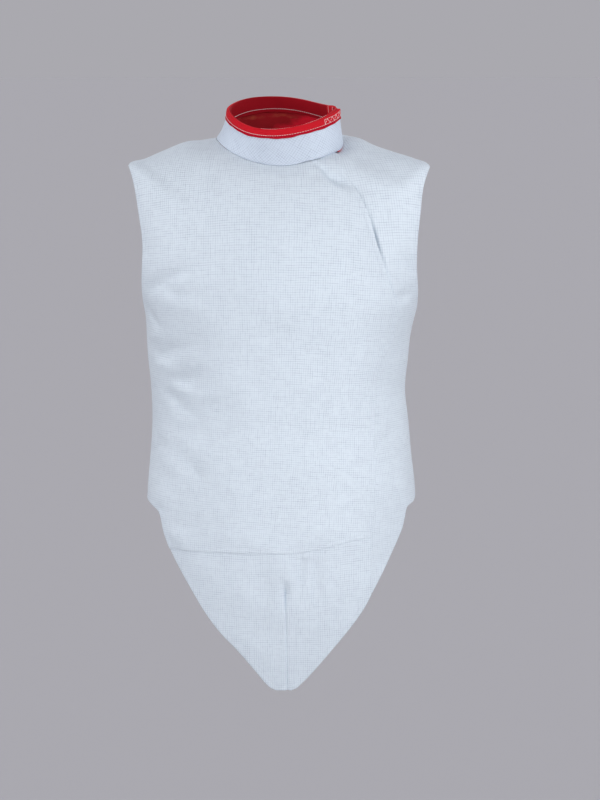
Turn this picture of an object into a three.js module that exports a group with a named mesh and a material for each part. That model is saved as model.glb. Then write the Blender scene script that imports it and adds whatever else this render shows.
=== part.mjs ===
// A sleeveless fencing lame for foil: a body-shaped vest of metallic cloth with a stand collar, worn, with nobody in it.
// Millimetres and degrees. +Z is up, the front faces -Y, and +X is the wearer's left.
// The origin is the middle of the neck at shoulder height, where the wearer's shoulders carry the vest.
// A place on the cloth is a heading (0 centre front, +90 the wearer's left side, 180 centre back) and a ring number.
import * as THREE from "three";

// Driving dimensions of the cloth
const bodyCloth = 2;
const collarCloth = 1.5;
const collarLiningCloth = 1.2;
const bindingCloth = 1;
const seamGap = 0.3;
const lapGap = 0.8;

// The vest closes with a flap: the front panel laps over the left front.
const flapLap = 11;
const flapLift = bodyCloth + lapGap;
const flapLiftRamp = 16;
const crotchSeamTuck = 8;

const table = (columns, rows) =>
  rows.map((row) => Object.fromEntries(columns.map((name, i) => [name, row[i]])));

// Rings of the body from the neck seam to the crotch point. right, left, front and back are how far a ring reaches
// from the axis on each side, each with its height; middleX moves its middle sideways; fullness 2 is an ellipse.
const bodyRings = table(
  ["right", "rightZ", "left", "leftZ", "front", "frontZ", "back", "backZ", "middleX", "fullness"],
  [
    [82, 8, 73, 12, 70, -24, 66, 12, 0, 2.0],
    [99, 5, 97, 8.5, 82, -37, 80, 5, 0, 1.92],
    [121, 2.5, 117, -1, 93, -56, 92, -9, 0, 1.84],
    [147, -7.5, 143, -10, 102, -78, 102, -29, 0, 1.76],
    [171, -17.5, 166, -17.5, 109, -100, 109, -50, 0, 1.68],
    [193, -26, 186, -28, 114, -121, 114, -71, 0, 1.62],
    [196, -62, 190, -62, 117, -143, 116, -98, 0, 1.82],
    [193, -98, 188, -98, 118, -163, 117, -125, 0, 2.04],
    [189, -134, 184, -134, 118, -183, 116, -152, 0, 2.2],
    [183, -170, 179, -170, 117, -201, 114, -180, 0, 2.33],
    [174, -204, 170.5, -204, 115, -219, 111, -208, 0, 2.4],
    [170.5, -236, 163.5, -236, 112, -241, 107, -238, 0, 2.4],
    [169, -273, 159.5, -273, 108.5, -273, 101, -273, 0, 2.35],
    [166, -310, 156.5, -310, 106, -310, 96, -310, 0, 2.3],
    [165, -350, 160, -350, 106, -350, 96, -350, 0, 2.3],
    [168, -400, 166, -400, 110, -400, 102, -400, 0, 2.35],
    [172, -448, 170.5, -448, 112, -448, 108, -448, 0, 2.4],
    [173, -501, 171, -501, 110, -501, 110, -501, 1, 2.4],
    [168, -565, 168, -565, 104, -565, 104, -565, 2, 2.4],
    [158, -625, 158, -625, 94, -625, 94, -625, 3, 2.4],
    [145, -690, 145, -690, 80, -690, 80, -690, 4, 2.4],
  ],
);
// The flap pulls the neck seam down a little on the left front.
const neckDip = 10;
const neckDipHeading = 70;
const neckDipWidth = 16;
const shoulderTipRing = 5;
const underarmRing = 10;
const firstLevelRing = 12;
const hemBendRing = 14;
const hemRing = 16;
const neckSeamRing = 0.01;
const crotchSeamRing = 17;
const dropPower = 1.6;

// Half of each armhole's oval, in degrees of heading forwards and backwards of the side.
const armholeForward = 27;
const armholeBack = 25;

// The flap's edge, seen from the front: slanting from the neck to below the left armhole, then straight down.
const flapEdge = table(
  ["x", "z"],
  [
    [67, -8],
    [73, -21],
    [84, -41],
    [94, -56],
    [103, -76],
    [113, -106],
    [119, -127],
    [127, -149],
    [134, -172],
    [139, -187],
    [142, -204],
    [143, -219],
    [139, -236],
    [132, -250],
    [124, -265],
    [118.5, -285],
    [116, -313],
    [115, -340],
    [115, -437],
    [112, -484],
  ],
);

// The hem below the side seams, as the cloth's reach to the right and left at each height.
const hemOutline = table(
  ["z", "right", "left"],
  [
    [-448, 172, 170.5],
    [-450, 166, 160],
    [-454, 159, 156.5],
    [-459, 154, 155.5],
    [-466, 151.5, 154.5],
    [-480, 148, 151],
    [-503, 139, 139.5],
    [-527, 127, 128.5],
    [-552, 113, 115],
    [-577, 98, 102],
    [-602, 80, 84],
    [-628, 56, 63],
    [-654, 32, 39],
    [-668, 20, 25],
    [-674, 14, 19],
    [-678, 7, 12],
  ],
);
const flapFootZ = -484;
const crotchSeamZ = -501;
const crotchSeamRiseFrom = 2;
const crotchSeamRiseTo = 38;
const sideSeamX = 112;
const sideSeamTopZ = -474;
const sidePanelPointZ = -555;
const underlapEndZ = -458;
const leftFootHeights = [-462, -466, -470, sideSeamTopZ, -488, -503, -520, -538, sidePanelPointZ];
const sidePointWidth = 0.6;
const crotchPointZ = -678;

// Soft troughs, and ridges where depth is negative, each from one place to another, seen from the front or the back.
// Each fades towards its second place.
const creases = table(
  ["side", "fromX", "fromZ", "toX", "toZ", "depth", "width"],
  [
    ["front", -163, -177, -83, -135, 3.2, 9],
    ["front", -146, -176, -98, -183, 2, 9],
    ["front", -166, -206, -146, -228, 2.2, 8],
    ["front", -163, -240, -147, -228, -1.8, 6],
    ["front", -154, -260, -104, -241, 3.2, 10],
    ["front", -156, -268, -128, -279, -1.6, 8],
    ["front", -131, -290, -79, -274, 2.6, 9],
    ["front", -131, -297, -97, -308, -2, 7],
    ["front", -97, -308, -57, -299, -1.4, 7],
    ["front", -140, -308, -96, -342, 2.8, 10],
    ["front", -111, -354, -80, -354, 1.6, 13],
    ["front", -156, -370, -121, -384, 2.6, 12],
    ["front", -126, -382, -78, -430, 3.2, 12],
    ["front", -157, -452, -143, -454, 1.4, 6],
    ["front", -119, -494, -146, -470, -2.2, 10],
    ["front", 123, -59, 128, -112, 1.6, 7],
    ["front", 160, -152, 140, -122, 2.4, 7],
    ["front", 158, -184, 135, -186, 2.4, 8],
    ["front", 47, -27, 60, -39, 3, 7],
    ["front", 58, -39, 88, -53, 3.4, 8],
    ["front", 47, -36, 23, -33, 1.6, 7],
    ["front", 68, -22, 80, -37, -1.6, 7],
    ["front", 104, -3, 84, -22, 2, 8],
    ["front", -73, -18, -72, -53, 1.2, 10],
    ["front", 27, -504, 21, -562, 2.2, 6],
    ["front", 42, -515, 41, -576, 1.7, 6],
    ["front", -24, -515, -24, -600, 2.4, 14],
    ["front", 4, -541, 4, -572, 1.5, 6],
    ["back", -160, -196, -112, -160, 2.6, 12],
    ["back", -158, -262, -108, -284, 2.8, 12],
    ["back", -160, -335, -104, -306, 2.6, 12],
    ["back", -154, -425, -96, -398, 2.1, 12],
    ["back", 156, -192, 106, -152, 2.6, 12],
    ["back", 152, -250, 98, -276, 2.8, 12],
    ["back", 156, -345, 112, -314, 2.6, 12],
    ["back", -24, -60, -16, -190, 1.8, 15],
    ["back", 42, -420, 34, -300, 2, 16],
  ],
);
const millimetresPerDegree = 2.65;
const seamShare = seamGap / 2 / millimetresPerDegree;

// The collar's rings from the neck seam to the rim, with the body table's columns.
const collarRings = table(
  ["right", "rightZ", "left", "leftZ", "front", "frontZ", "back", "backZ", "middleX", "fullness"],
  [
    [82, 8, 73, 12, 70, -24, 66, 12, 0, 2.0],
    [75, 19, 71.5, 22, 69, -10, 65, 27, -3, 2.0],
    [70, 32, 70, 33, 67.5, 5, 64, 43, -8, 2.0],
    [67.5, 45, 69, 45, 66, 20.5, 63, 59, -12, 2.05],
  ],
);
// The collar starts under the flap, goes round the back and ends at the left side, over its own start.
const collarStart = 42;
const collarEnd = 360 + 78;
const collarLapStart = 360 + 6;
const collarLapFull = 360 + 40;
const collarLapRise = 2.9;
const neckLiftFade = 0.9;
const bindingOuterDrop = 12;
const bindingInnerDrop = 20;
const collarLiningOut = -collarCloth - seamGap;
const bindingOut = seamGap + bindingCloth;
const bindingIn = collarLiningOut - collarLiningCloth - seamGap;
const collarLapLift = bindingOut + seamGap - (bindingIn - bindingCloth);

// Mesh counts
const frontColumns = 40;
const lapColumns = 2;
const leftFrontColumns = 4;
const backColumns = 24;
const edgeSqueeze = 2.4;
const crotchColumns = 20;
const crotchRows = 14;
const yokeRows = 8;
const armholeRows = 12;
const waistRows = 21;
const backWaistRows = 12;
const frontCornerColumn = 10;
const frontFootRows = 5;
const leftCornerColumn = 5;
const collarColumns = 50;
const collarRows = 4;

const evenly = (count, make) => Array.from({ length: count + 1 }, (_, i) => make(i / count));
const radians = THREE.MathUtils.degToRad;
const mix = THREE.MathUtils.lerp;
const ease = THREE.MathUtils.smoothstep;

// A smooth curve through the rows of a table, at a row number that needn't be whole.
function smoothRow(rows, at) {
  const i = THREE.MathUtils.clamp(Math.floor(at), 0, rows.length - 2);
  const t = at - i;
  const near = [-1, 0, 1, 2].map((step) => rows[THREE.MathUtils.clamp(i + step, 0, rows.length - 1)]);
  const made = {};
  for (const name of Object.keys(rows[0])) {
    const [a, b, c, d] = near.map((row) => row[name]);
    made[name] = b + 0.5 * t * (c - a + t * (2 * a - 5 * b + 4 * c - d + t * (3 * (b - c) + d - a)));
  }
  return made;
}

// The row number at which a table's column has a value, where that column only rises or only falls.
function rowNumberAt(rows, name, value) {
  let low = 0;
  let high = rows.length - 1;
  const rising = rows[high][name] > rows[low][name];
  for (let i = 0; i < 40; i++) {
    const middle = (low + high) / 2;
    if (smoothRow(rows, middle)[name] < value === rising) low = middle;
    else high = middle;
  }
  return (low + high) / 2;
}

const hemReach = (z, side) => smoothRow(hemOutline, rowNumberAt(hemOutline, "z", z))[side];
const ringAtZ = (z) => rowNumberAt(bodyRings, "frontZ", z);

// A point of a ring at a heading.
function ringPoint(ring, heading) {
  const sine = Math.sin(radians(heading));
  const cosine = Math.cos(radians(heading));
  const n = ring.fullness;
  const stretch = (Math.abs(sine) ** n + Math.abs(cosine) ** n) ** (-1 / n);
  const middle = (Math.abs(cosine) * stretch) ** dropPower;
  const sideZ = sine < 0 ? ring.rightZ : ring.leftZ;
  const middleZ = cosine > 0 ? ring.frontZ : ring.backZ;
  return new THREE.Vector3(
    (sine < 0 ? ring.right : ring.left) * stretch * sine + ring.middleX * middle,
    -(cosine > 0 ? ring.front : ring.back) * stretch * cosine,
    mix(sideZ, middleZ, middle),
  );
}

// The heading at which a ring reaches sideways to x, in front or at the back.
function headingAtX(ring, x, side = "front") {
  const turned = (away) => Math.sign(x) * (side === "front" ? away : 180 - away);
  let low = 0;
  let high = 90;
  for (let i = 0; i < 40; i++) {
    const middle = (low + high) / 2;
    if (Math.abs(ringPoint(ring, turned(middle)).x) < Math.abs(x)) low = middle;
    else high = middle;
  }
  return turned((low + high) / 2);
}

// The outward normal of a surface given as a function of heading and height number.
function normalOf(surface, heading, height) {
  const step = 0.02;
  const along = surface(heading + step, height).sub(surface(heading - step, height));
  const down = surface(heading, height + step).sub(surface(heading, height - step));
  return down.cross(along).normalize();
}

const neckDipAt = (turn) => neckDip * Math.exp(-(((((turn + 180) % 360) - 180 - neckDipHeading) / neckDipWidth) ** 2));

function bodySurface(heading, ring) {
  const point = ringPoint(smoothRow(bodyRings, ring), heading);
  point.z -= neckDipAt(heading) * Math.exp(-ring / 1.5);
  return point;
}

// The place on the body that is seen at x and z, from the front or from the back.
function placeAt(x, z, side = "front") {
  let low = 0;
  let high = bodyRings.length - 1;
  for (let i = 0; i < 30; i++) {
    const middle = (low + high) / 2;
    const ring = smoothRow(bodyRings, middle);
    const reach = x < 0 ? ring.right : ring.left;
    const above = Math.abs(x) > reach || bodySurface(headingAtX(ring, x, side), middle).z > z;
    if (above) low = middle;
    else high = middle;
  }
  return { heading: headingAtX(smoothRow(bodyRings, low), x, side), ring: low };
}

const flapPlaces = flapEdge.map(({ x, z }) => placeAt(x, z));
const flapHeading = (ring) => smoothRow(flapPlaces, rowNumberAt(flapPlaces, "ring", ring)).heading;

const creasePlaces = creases.map((crease) => ({
  ...crease,
  from: placeAt(crease.fromX, crease.fromZ, crease.side).heading,
  to: placeAt(crease.toX, crease.toZ, crease.side).heading,
}));

function creaseDepth(heading, z) {
  let depth = 0;
  for (const crease of creasePlaces) {
    const alongX = (crease.to - crease.from) * millimetresPerDegree;
    const alongZ = crease.toZ - crease.fromZ;
    const fromX = (heading - crease.from) * millimetresPerDegree;
    const fromZ = z - crease.fromZ;
    const share = THREE.MathUtils.clamp(
      (fromX * alongX + fromZ * alongZ) / (alongX * alongX + alongZ * alongZ), 0, 1);
    const away = Math.hypot(fromX - share * alongX, fromZ - share * alongZ) / crease.width;
    const fade = ease(share, -0.6, 0.3) * (1 - 0.8 * ease(share, 0.3, 1));
    depth += crease.depth * fade * Math.exp(-away * away);
  }
  return depth;
}

// The body's cloth with its creases, lifted off the form where it laps over another piece.
function clothSurface(lift) {
  return (heading, ring) => {
    const point = bodySurface(heading, ring);
    const wrapped = ((((heading + 180) % 360) + 360) % 360) - 180;
    const out = lift(heading, ring, point.z) - creaseDepth(wrapped, point.z) * Math.min(1, 2 * ring);
    return point.addScaledVector(normalOf(bodySurface, heading, ring), out);
  };
}

// A closed wall over a grid of outer points with their normals. Where a row has null, the grid has no cloth.
function wall(rows, thickness) {
  const positions = [];
  const outer = rows.map((row) =>
    row.map((spot) => {
      if (!spot) return null;
      positions.push(...spot.point.toArray());
      positions.push(...spot.point.clone().addScaledVector(spot.normal, -thickness).toArray());
      return positions.length / 3 - 2;
    }),
  );
  const faces = [];
  for (let j = 0; j + 1 < rows.length; j++)
    for (let i = 0; i + 1 < rows[j].length; i++) {
      const [a, b, c, d] = [outer[j][i], outer[j + 1][i], outer[j + 1][i + 1], outer[j][i + 1]];
      if ([a, b, c, d].includes(null)) continue;
      faces.push([a, b, c], [a, c, d]);
    }
  const index = faces.flatMap(([a, b, c]) => [a, b, c, a + 1, c + 1, b + 1]);
  const edges = faces.flatMap(([a, b, c]) => [[a, b], [b, c], [c, a]]);
  const known = new Set(edges.map(String));
  for (const [a, b] of edges)
    if (!known.has(String([b, a]))) index.push(b, a, a + 1, b, a + 1, b + 1);
  return meshGeometry(positions, index);
}

function meshGeometry(positions, index) {
  return new THREE.BufferGeometry()
    .setAttribute("position", new THREE.Float32BufferAttribute(positions, 3))
    .setIndex(index);
}

// A wall of body cloth whose rows are lists of places, each a heading and a ring.
function clothWall(rows, surface = clothSurface(() => 0)) {
  const spot = ({ heading, ring }) => ({
    point: surface(heading, ring),
    normal: normalOf(surface, heading, ring),
  });
  return wall(rows.map((row) => row.map((place) => place && spot(place))), bodyCloth);
}

// How far the armhole's edge is from the side, as a share of its widest, from the shoulder tip to the underarm.
function armholeShare(ring) {
  const down = (ring - shoulderTipRing) / (underarmRing - shoulderTipRing);
  return down > 0 && down < 1 ? 2 * Math.sqrt(down * (1 - down)) : 0;
}

// The rings that rows follow from the neck to the hem, close together at both ends of the armholes.
const ringsToHem = (waistRows) => [
  ...evenly(yokeRows, (t) => Math.max(shoulderTipRing * t, neckSeamRing)),
  ...evenly(armholeRows, (t) => mix(shoulderTipRing, underarmRing, (1 - Math.cos(Math.PI * t)) / 2)).slice(1),
  ...evenly(waistRows, (t) => mix(underarmRing, hemRing, t)).slice(1),
];
const frontEdge = (ring) => 90 - seamShare - armholeForward * armholeShare(ring);
const backEdge = (ring) => 90 + seamShare + armholeBack * armholeShare(ring);

// The heading of the hem in front, below the corner where it turns down.
const hemHeading = (z, side) =>
  headingAtX(smoothRow(bodyRings, ringAtZ(z)), hemReach(z, side) * (side === "right" ? -1 : 1));

// The hem's height in front at a heading, between the side seam and that corner.
function hemHeight(heading) {
  let high = hemOutline[0].z;
  let low = crotchSeamZ;
  for (let i = 0; i < 30; i++) {
    const middle = (low + high) / 2;
    if (Math.abs(heading) < Math.abs(hemHeading(middle, heading < 0 ? "right" : "left"))) high = middle;
    else low = middle;
  }
  return (low + high) / 2;
}

// A front row at a ring. Near the hem it bends, so that the last one is the hem from the side seam to the corner.
function rowAbove(ring, headings, corner) {
  const bend = ease(ring, hemBendRing, hemRing);
  const level = bodySurface(0, ring).z;
  return headings.map((heading) => {
    if (ring < firstLevelRing) return { heading, ring };
    const hem = hemHeight(Math.abs(heading) > Math.abs(corner) ? heading : corner);
    return placeNearFoot(heading, level + bend * (hem - hemOutline[0].z));
  });
}

// The crotch seam is level from the right hem to the middle, and rises to the flap's foot. Rows above it follow it.
const crotchSeamAt = (heading) =>
  mix(crotchSeamZ, flapFootZ, ease(heading, crotchSeamRiseFrom, crotchSeamRiseTo));

function placeNearFoot(heading, level) {
  const share = 1 - ease(level, crotchSeamZ, hemOutline[0].z);
  return { heading, ring: ringAtZ(level + share * (crotchSeamAt(heading) - crotchSeamZ)) };
}

// Headings from one edge to another, as even as they can be where the first edge leaves its usual place.
const across = (columns, from, to, usualFrom) =>
  evenly(columns, (t) => mix(usualFrom, to, t) + (from - usualFrom) * (1 - t) ** edgeSqueeze);

// The front panel: the whole front and the right shoulder, with the flap that laps over the left front.
function frontPanel() {
  const columns = frontColumns - lapColumns;
  const lapStart = (ring) => flapHeading(ring) - flapLap;
  const lap = (ring) => evenly(lapColumns, (t) => mix(lapStart(ring), flapHeading(ring), t)).slice(1);
  const usual = (ring) => mix(-90, lapStart(ring), frontCornerColumn / columns);
  const above = ringsToHem(waistRows).map((ring) => {
    const headings = across(columns, -frontEdge(ring), lapStart(ring), -90);
    return rowAbove(ring, [...headings, ...lap(ring)], usual(hemRing));
  });
  const cornerZ = hemHeight(usual(hemRing));
  const below = evenly(frontFootRows, (t) => {
    const z = mix(cornerZ, crotchSeamZ, t);
    const ring = ringAtZ(z);
    const headings = across(columns - frontCornerColumn, hemHeading(z, "right"), lapStart(ring), usual(ring));
    const places = [...headings, ...lap(ring)].map((heading) => placeNearFoot(heading, z));
    return [...Array(frontCornerColumn).fill(null), ...places];
  }).slice(1);
  return clothWall([...above, ...below], frontSurface);
}

// How far the front panel stands off the form: over the left front at the flap, and over the crotch panel at its foot.
function flapLiftAt(heading, ring, z) {
  const lap = flapHeading(Math.min(ring, crotchSeamRing)) - flapLap;
  const overLeftFront = ease(heading, lap - flapLiftRamp, lap - 1);
  const crotchTop = crotchSeamAt(heading) + crotchSeamTuck;
  const overCrotch = 1 - ease(z, crotchTop + 4, crotchTop + 30);
  return flapLift * Math.max(overLeftFront, overCrotch);
}

// At the neck the flap also moves out with the collar, which laps over its own start there.
function frontSurface(heading, ring) {
  const out = collarLapLift * collarLap(heading + 360) * Math.exp(-ring / neckLiftFade);
  const angle = radians(heading);
  return clothSurface(flapLiftAt)(heading, ring)
    .add(new THREE.Vector3(out * Math.sin(angle), -out * Math.cos(angle), 0));
}

// The left front: shoulder, armhole and side, with an edge that lies under the flap.
function leftFront() {
  const columns = leftFrontColumns + leftCornerColumn;
  const underEdge = (ring) => flapHeading(Math.min(ring, crotchSeamRing)) - flapLap;
  const corner = mix(underEdge(hemRing) + flapLap, 90, leftFrontColumns / columns);
  const above = ringsToHem(waistRows).map((ring) => {
    const under = underEdge(ring);
    const headings = [
      ...evenly(lapColumns, (t) => under + flapLap * t),
      ...evenly(columns, (t) => mix(under + flapLap, frontEdge(ring), t)).slice(1),
    ];
    return rowAbove(ring, headings, corner);
  });
  const below = leftFootHeights.map((z) => {
    const seam = headingAtX(smoothRow(bodyRings, ringAtZ(z)), sideSeamX + seamGap);
    const from = mix(seam, underEdge(ringAtZ(z)), ease(z, sideSeamTopZ, underlapEndZ));
    const to = Math.max(hemHeading(z, "left"), seam + sidePointWidth);
    const middle = mix(from, to, lapColumns / (lapColumns + leftFrontColumns));
    const headings = [
      ...evenly(lapColumns, (t) => mix(from, middle, t)),
      ...evenly(leftFrontColumns, (t) => mix(middle, to, t)).slice(1),
    ];
    const places = headings.map((heading) => ({ heading, ring: ringAtZ(z) }));
    return [...places, ...Array(leftCornerColumn).fill(null)];
  });
  return clothWall([...above, ...below]);
}

// The back panel: one piece from the neck to a level hem.
function backPanel() {
  return clothWall(ringsToHem(backWaistRows).map((ring) => {
    const inset = backEdge(ring) - 90;
    return evenly(backColumns, (t) => {
      const squeeze = (1 - t) ** edgeSqueeze - t ** edgeSqueeze;
      return { heading: mix(90, 270, t) + inset * squeeze, ring };
    });
  }));
}

// The crotch panel: a pointed piece whose top is tucked under the front panel's foot.
function crotchPanel() {
  return clothWall(evenly(crotchRows, (t) => {
    const z = mix(crotchSeamZ + crotchSeamTuck, crotchPointZ, t);
    const reach = Math.min(hemReach(z, "left"), sideSeamX);
    const to = headingAtX(smoothRow(bodyRings, ringAtZ(z)), reach);
    return evenly(crotchColumns, (u) => {
      const heading = mix(hemHeading(z, "right"), to, u);
      const rise = (crotchSeamAt(heading) - crotchSeamZ) * Math.max(0, 1 - t * 3) ** 2;
      return { heading, ring: ringAtZ(z + rise) };
    });
  }));
}

// The collar, its lining and its binding go round the neck on one surface, and lie in layers on it.
function collarSurface(turn, share) {
  const point = ringPoint(smoothRow(collarRings, share * (collarRings.length - 1)), turn);
  point.z -= neckDipAt(turn) * Math.max(0, 1 - share);
  return point;
}
const collarHeight = (turn) => collarSurface(turn, 0).distanceTo(collarSurface(turn, 1));
const shareBelowRim = (turn, drop) => 1 - drop / collarHeight(turn);
const collarLap = (turn) => ease(turn, collarLapStart, collarLapFull);

function collarPoint(turn, share, out) {
  const upward = (heading, height) => collarSurface(heading, -height);
  const normal = normalOf(upward, turn, -share);
  return {
    normal,
    point: collarSurface(turn, share).addScaledVector(normal, out + collarLapLift * collarLap(turn)),
  };
}

function collarWall(thickness, out, topDrop) {
  const rows = evenly(collarRows, (down) =>
    evenly(collarColumns, (round) => {
      const turn = mix(collarStart, collarEnd, round);
      const bottom = (seamGap / 2 + collarLapRise * collarLap(turn)) / collarHeight(turn);
      return collarPoint(turn, mix(shareBelowRim(turn, topDrop), bottom, down), out);
    }));
  return wall(rows, thickness);
}

// A folded tape over the rim, with a short outer leg and a longer inner one.
function collarBinding() {
  const outside = bindingOut;
  const inside = bindingIn - bindingCloth;
  const section = [
    [outside, bindingOuterDrop],
    [outside, 1],
    [outside - 1, 0],
    [inside + 1, 0],
    [inside, 1],
    [inside, 0.35 * bindingInnerDrop],
    [inside, 0.7 * bindingInnerDrop],
    [inside, bindingInnerDrop],
    [bindingIn, bindingInnerDrop],
    [bindingIn, 0.7 * bindingInnerDrop],
    [bindingIn, 0.35 * bindingInnerDrop],
    [bindingIn, bindingCloth],
    [seamGap, bindingCloth],
    [seamGap, bindingOuterDrop],
  ];
  const positions = [];
  for (let i = 0; i <= collarColumns; i++) {
    const turn = mix(collarStart, collarEnd, i / collarColumns);
    for (const [out, drop] of section)
      positions.push(...collarPoint(turn, shareBelowRim(turn, drop), out).point.toArray());
  }
  const count = section.length;
  const index = [];
  for (let i = 0; i < collarColumns; i++)
    for (let j = 0; j < count; j++) {
      const next = (j + 1) % count;
      const [a, b, c, d] = [i * count + j, i * count + next, (i + 1) * count + next, (i + 1) * count + j];
      index.push(a, c, b, a, d, c);
    }
  const flat = section.map(([out, drop]) => new THREE.Vector2(out, -drop));
  for (const [a, b, c] of THREE.ShapeUtils.triangulateShape(flat, [])) {
    const last = collarColumns * count;
    index.push(a, b, c, last + a, last + c, last + b);
  }
  return meshGeometry(positions, index);
}

const silverCloth = () => new THREE.MeshStandardMaterial({ color: 0xd3dde9, roughness: 0.55, metalness: 0.3 });
const redCloth = (color) => new THREE.MeshStandardMaterial({ color, roughness: 0.8, metalness: 0 });

function piece(name, geometry, material) {
  const mesh = new THREE.Mesh(geometry, material);
  mesh.name = name;
  return mesh;
}

const vest = new THREE.Group();
vest.add(
  piece("front_panel", frontPanel(), silverCloth()),
  piece("left_front_panel", leftFront(), silverCloth()),
  piece("back_panel", backPanel(), silverCloth()),
  piece("crotch_panel", crotchPanel(), silverCloth()),
);
const collar = new THREE.Group();
collar.add(
  piece("collar", collarWall(collarCloth, 0, bindingCloth + seamGap), silverCloth()),
  piece("collar_lining", collarWall(collarLiningCloth, collarLiningOut, bindingCloth + seamGap), redCloth(0x8c1a1c)),
  piece("collar_binding", collarBinding(), redCloth(0xc3202f)),
);
vest.add(collar);

export default vest;
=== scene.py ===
import math

import bmesh
import bpy
import numpy as np
from mathutils import Matrix, Vector
from mathutils.bvhtree import BVHTree
from mathutils.kdtree import KDTree


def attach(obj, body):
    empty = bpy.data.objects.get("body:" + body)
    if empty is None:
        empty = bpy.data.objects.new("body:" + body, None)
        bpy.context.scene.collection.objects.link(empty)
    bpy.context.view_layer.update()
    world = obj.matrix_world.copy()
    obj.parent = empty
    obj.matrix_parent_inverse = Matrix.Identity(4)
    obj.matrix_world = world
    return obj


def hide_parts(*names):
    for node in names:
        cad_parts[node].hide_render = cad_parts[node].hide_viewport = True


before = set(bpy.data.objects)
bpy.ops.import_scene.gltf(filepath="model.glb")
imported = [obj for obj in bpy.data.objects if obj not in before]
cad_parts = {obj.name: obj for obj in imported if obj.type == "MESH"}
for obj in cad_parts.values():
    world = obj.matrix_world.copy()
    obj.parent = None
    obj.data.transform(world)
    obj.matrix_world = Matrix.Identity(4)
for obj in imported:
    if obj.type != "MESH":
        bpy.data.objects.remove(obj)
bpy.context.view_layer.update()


# Camera, light and floor.
# A look a little down on the chest, three metres away, through a long lens. The room is a plain even grey
# with a pale floor, and broad lights stand all round it, so that folds show by the light they keep out. A low
# panel in front lights the parts that face down.
def add_object(name, data):
    made = bpy.data.objects.new(name, data)
    bpy.context.collection.objects.link(made)
    return made


camera_distance = 3.0
camera_down = math.radians(8)
aim = Vector((0.0229, 0, -0.324))
camera = add_object("camera", bpy.data.cameras.new("camera"))
camera.data.lens = 106
camera.data.sensor_width = 36
camera.data.sensor_fit = "AUTO"
camera.location = aim + camera_distance * Vector((0, -math.cos(camera_down), math.sin(camera_down)))
camera.rotation_euler = (math.pi / 2 - camera_down, 0, 0)
bpy.context.scene.camera = camera
bpy.context.scene.view_settings.view_transform = "Standard"

room_grey = (0.402, 0.397, 0.428, 1)
room = bpy.data.worlds.new("room")
room.use_nodes = True
room.node_tree.nodes["Background"].inputs["Color"].default_value = room_grey
bpy.context.scene.world = room


def soft_light(name, strength, softness, down, turn):
    """A broad light whose rays fall at an angle below level, from a turn round the front, in degrees."""
    light = add_object(name, bpy.data.lights.new(name, "SUN"))
    light.data.energy = strength
    light.data.angle = math.radians(softness)
    light.rotation_euler = (math.radians(90 - down), 0, math.radians(turn))


soft_light("front_light", 0.52, 110, 2, 6)
soft_light("right_light", 1.9, 100, 2, -74)
soft_light("left_light", 2, 100, 2, 74)
soft_light("back_light", 0.5, 110, 2, 180)

low_panel = add_object("low_panel", bpy.data.lights.new("low_panel", "AREA"))
low_panel.data.energy = 3
low_panel.data.size = 1.3
low_panel.data.spread = math.radians(70)
low_panel.location = (0.45, -1.5, -1.25)
low_panel.rotation_euler = (math.radians(122), 0, math.radians(14))


def object_from(shape, name):
    made = add_object(name, bpy.data.meshes.new(name))
    shape.to_mesh(made.data)
    shape.free()
    return made


def new_material(name):
    """A material with its nodes and its main shader."""
    material = bpy.data.materials.new(name)
    material.use_nodes = True
    return material, material.node_tree, material.node_tree.nodes["Principled BSDF"]


floor_height = -1.38
floor_reach = 400
ground = bmesh.new()
bmesh.ops.create_grid(ground, x_segments=1, y_segments=1, size=floor_reach)
bmesh.ops.translate(ground, verts=ground.verts, vec=(0, 0, floor_height))
floor = object_from(ground, "floor")

floor_paint, _, paint = new_material("floor_paint")
paint.inputs["Base Color"].default_value = (0.527, 0.523, 0.548, 1)
paint.inputs["Roughness"].default_value = 1
paint.inputs["Specular IOR Level"].default_value = 0
floor.data.materials.append(floor_paint)


# Front panel.
# The whole front and the right shoulder, cut in one piece from silvery woven cloth. Its left edge is a flap
# that laps over the left front, and its foot is turned under and sewn over the crotch panel.
# Sizes are in millimetres. A place on the cloth is a turn in degrees, 0 at the centre front and 90 at the
# wearer's left side, and a ring number from 0 at the neck.
millimetre = 0.001
cloth = 0.9
body_rings = [
    # right, its height, left, its height, front, its height, back, its height, middle sideways, fullness
    (82, 8, 73, 12, 70, -24, 66, 12, 0, 2.0),
    (99, 5, 97, 8.5, 82, -37, 80, 5, 0, 1.92),
    (121, 2.5, 117, -1, 93, -56, 92, -9, 0, 1.84),
    (147, -7.5, 143, -10, 102, -78, 102, -29, 0, 1.76),
    (171, -17.5, 166, -17.5, 109, -100, 109, -50, 0, 1.68),
    (193, -26, 186, -28, 114, -121, 114, -71, 0, 1.62),
    (196, -62, 190, -62, 117, -143, 116, -98, 0, 1.82),
    (193, -98, 188, -98, 118, -163, 117, -125, 0, 2.04),
    (189, -134, 184, -134, 118, -183, 116, -152, 0, 2.2),
    (183, -170, 179, -170, 117, -201, 114, -180, 0, 2.33),
    (174, -204, 170.5, -204, 115, -219, 111, -208, 0, 2.4),
    (170.5, -236, 163.5, -236, 112, -241, 107, -238, 0, 2.4),
    (169, -273, 159.5, -273, 108.5, -273, 101, -273, 0, 2.35),
    (166, -310, 156.5, -310, 106, -310, 96, -310, 0, 2.3),
    (165, -350, 160, -350, 106, -350, 96, -350, 0, 2.3),
    (168, -400, 166, -400, 110, -400, 102, -400, 0, 2.35),
    (172, -448, 170.5, -448, 112, -448, 108, -448, 0, 2.4),
    (173, -501, 171, -501, 110, -501, 110, -501, 1, 2.4),
    (168, -565, 168, -565, 104, -565, 104, -565, 2, 2.4),
    (158, -625, 158, -625, 94, -625, 94, -625, 3, 2.4),
    (145, -690, 145, -690, 80, -690, 80, -690, 4, 2.4),
]
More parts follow.
